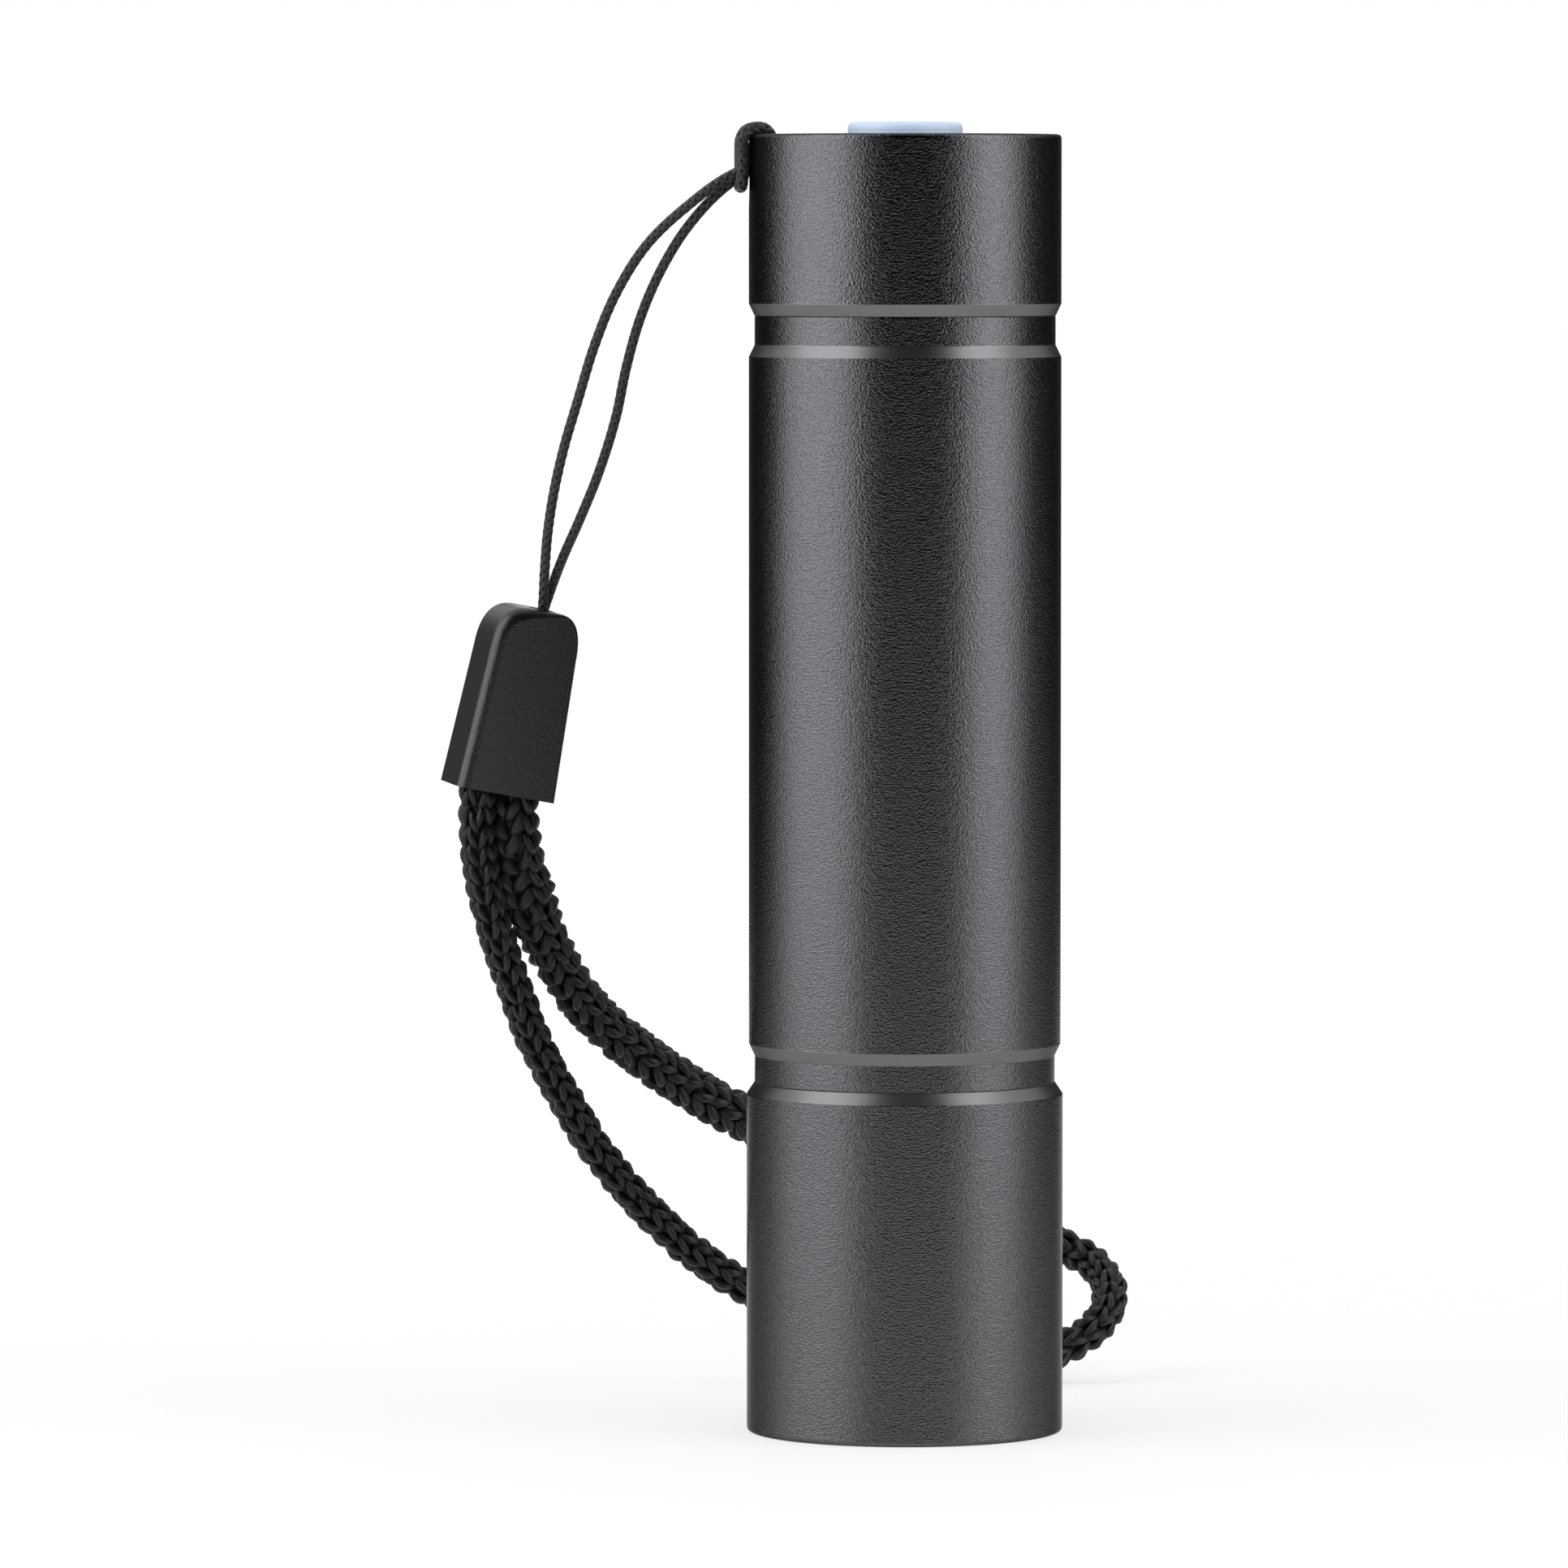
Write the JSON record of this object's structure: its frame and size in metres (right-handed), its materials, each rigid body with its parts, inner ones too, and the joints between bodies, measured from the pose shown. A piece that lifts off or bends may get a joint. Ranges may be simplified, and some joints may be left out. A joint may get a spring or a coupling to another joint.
{
  "type": "flashlight",
  "caption": "Slim black aluminium flashlight standing on its bezel, with a screw-off tail cap, a sprung tail button and a wrist lanyard hitched to the cap.",
  "frame": {"origin": "centre of the bezel face that the flashlight stands on", "axes": "+Z along the flashlight from the bezel to the tail button, -X towards the lanyard hole in the tail cap, +Y to the side where the wrist loop lies"},
  "size_m": [0.061, 0.0633, 0.1136],
  "materials": {
    "anodised_aluminium": "bead blasted and black anodised, satin",
    "bare_aluminium": "turned",
    "reflector_mirror": "vacuum metallised, smooth",
    "lens_clear": "clear, polished",
    "seal_rubber": "greased, satin",
    "white_plastic": "moulded, matt",
    "led_phosphor": "clear dome over yellow phosphor",
    "circuit_board": "solder mask",
    "spring_steel": "plated wire",
    "contact_brass": "stamped",
    "cage_plastic": "moulded, matt",
    "cell_wrap": "plain film wrap, semi gloss",
    "button_plastic": "moulded, soft gloss, pale blue",
    "clip_plastic": "moulded, fine matt",
    "string_fabric": "fine braided nylon",
    "cord_fabric": "knitted polyester"
  },
  "bodies": {
    "torch_body": {"head_shell": "anodised_aluminium", "lens_gasket": "seal_rubber", "lens": "lens_clear", "reflector": "reflector_mirror", "led_spacer": "white_plastic", "led_emitter": "led_phosphor", "led_board": "white_plastic", "heat_sink": "bare_aluminium", "driver_board": "circuit_board", "front_contact_spring": "spring_steel", "barrel_tube": "anodised_aluminium", "head_o_ring": "seal_rubber", "cage_frame": "cage_plastic", "cage_rear_plate": "cage_plastic", "cell_1": "cell_wrap", "cell_2": "cell_wrap", "cell_3": "cell_wrap", "cell_spring_1": "spring_steel", "cell_spring_2": "spring_steel", "cell_spring_3": "spring_steel", "cell_contact_1": "contact_brass", "cell_contact_2": "contact_brass", "cell_contact_3": "contact_brass", "cage_front_contact": "contact_brass", "cage_rear_contact": "contact_brass"},
    "tail_seal": {"tail_o_ring": "seal_rubber"},
    "tail_cap": {"tail_cap": "anodised_aluminium", "switch_housing": "cage_plastic", "switch_spring": "spring_steel", "switch_board": "circuit_board", "switch_ring": "contact_brass", "tail_contact_spring": "spring_steel", "lanyard_string": "string_fabric", "lanyard_clip": "clip_plastic", "wrist_cord": "cord_fabric"},
    "tail_button": {"button": "button_plastic", "switch_plunger": "white_plastic"}
  },
  "joints": [
    {"name": "tail_cap_travel", "type": "slide", "parent": "torch_body", "child": "tail_seal", "axis": [0, 0, 1], "range_m": [0, 0.004]},
    {"name": "tail_cap_turn", "type": "hinge", "parent": "tail_seal", "child": "tail_cap", "pos_m": [0, 0, 0.0968], "axis": [0, 0, 1], "range_deg": [0, 1440]},
    {"name": "button_press", "type": "slide", "parent": "tail_cap", "child": "tail_button", "axis": [0, 0, -1], "range_m": [0, 0.0012], "stiffness_N_per_m": 1200, "deforming": ["switch_spring"]}
  ],
  "couplings": [
    {"joint": "tail_cap_travel", "follows": "tail_cap_turn", "m_per_rad": 0.00015915}
  ]
}
